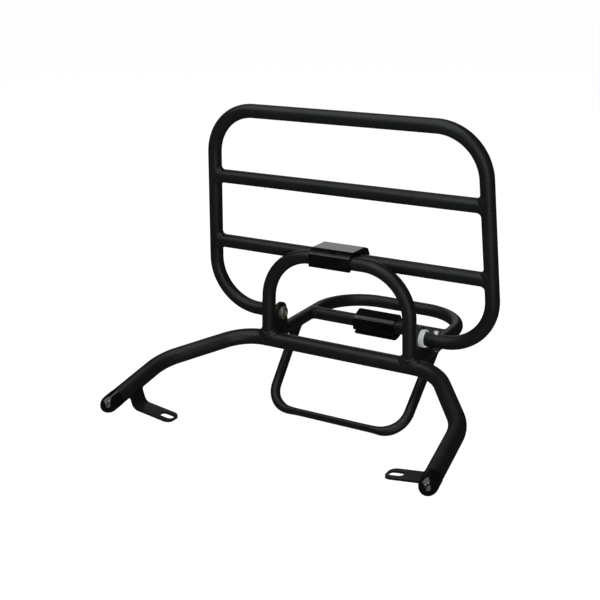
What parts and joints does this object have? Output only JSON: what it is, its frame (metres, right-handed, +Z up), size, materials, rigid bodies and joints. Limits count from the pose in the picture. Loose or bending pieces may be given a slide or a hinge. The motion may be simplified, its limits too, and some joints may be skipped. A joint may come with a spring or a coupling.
{
  "type": "folding luggage rack",
  "caption": "Folding rear luggage rack of bent black tube: a carrier frame hinged on a fixed base with two slotted mounting tabs and a snap clip.",
  "frame": {"origin": "midway between the two mounting slots, on the underside of the bracket tabs", "axes": "+X to the right, +Y to the rear of the vehicle, +Z up"},
  "size_m": [0.4026, 0.3828, 0.365],
  "materials": {
    "powder_black": "satin powder coat, fine orange peel",
    "gloss_black": "glossy moulded or extruded plastic",
    "zinc_steel": "zinc plated, turned",
    "white_nylon": "matte nylon"
  },
  "bodies": {
    "base": {"base_tube": "powder_black", "front_hoop": "powder_black", "rear_hoop": "powder_black", "rear_crossbar": "powder_black", "lower_hoop": "powder_black", "bracket_left": "powder_black", "bracket_right": "powder_black", "hinge_lug_left": "powder_black", "hinge_lug_right": "powder_black", "end_cap_left": "gloss_black", "end_cap_right": "gloss_black", "rear_clip": "gloss_black"},
    "carrier": {"carrier_tube": "powder_black", "lower_bar": "powder_black", "middle_bar": "powder_black", "pivot_plug_left": "zinc_steel", "pivot_plug_right": "zinc_steel", "pivot_bolt_left": "zinc_steel", "pivot_bolt_right": "zinc_steel", "spacer_washer_left": "white_nylon", "spacer_washer_right": "white_nylon", "locking_screw_left": "zinc_steel", "locking_screw_right": "zinc_steel", "locking_nut_left": "zinc_steel", "locking_nut_right": "zinc_steel"},
    "top_clip": {"top_clip": "gloss_black"}
  },
  "joints": [
    {"name": "carrier_fold", "type": "hinge", "parent": "base", "child": "carrier", "pos_m": [0, 0.1644, 0.08356], "axis": [-1, 0, 0], "range_deg": [0, 97.5]},
    {"name": "top_clip_turn", "type": "hinge", "parent": "base", "child": "top_clip", "pos_m": [0, 0.1394, 0.16666], "axis": [1, 0, 0], "range_deg": [0, 97.5]}
  ],
  "couplings": [
    {"joint": "top_clip_turn", "follows": "carrier_fold", "ratio": 1}
  ]
}
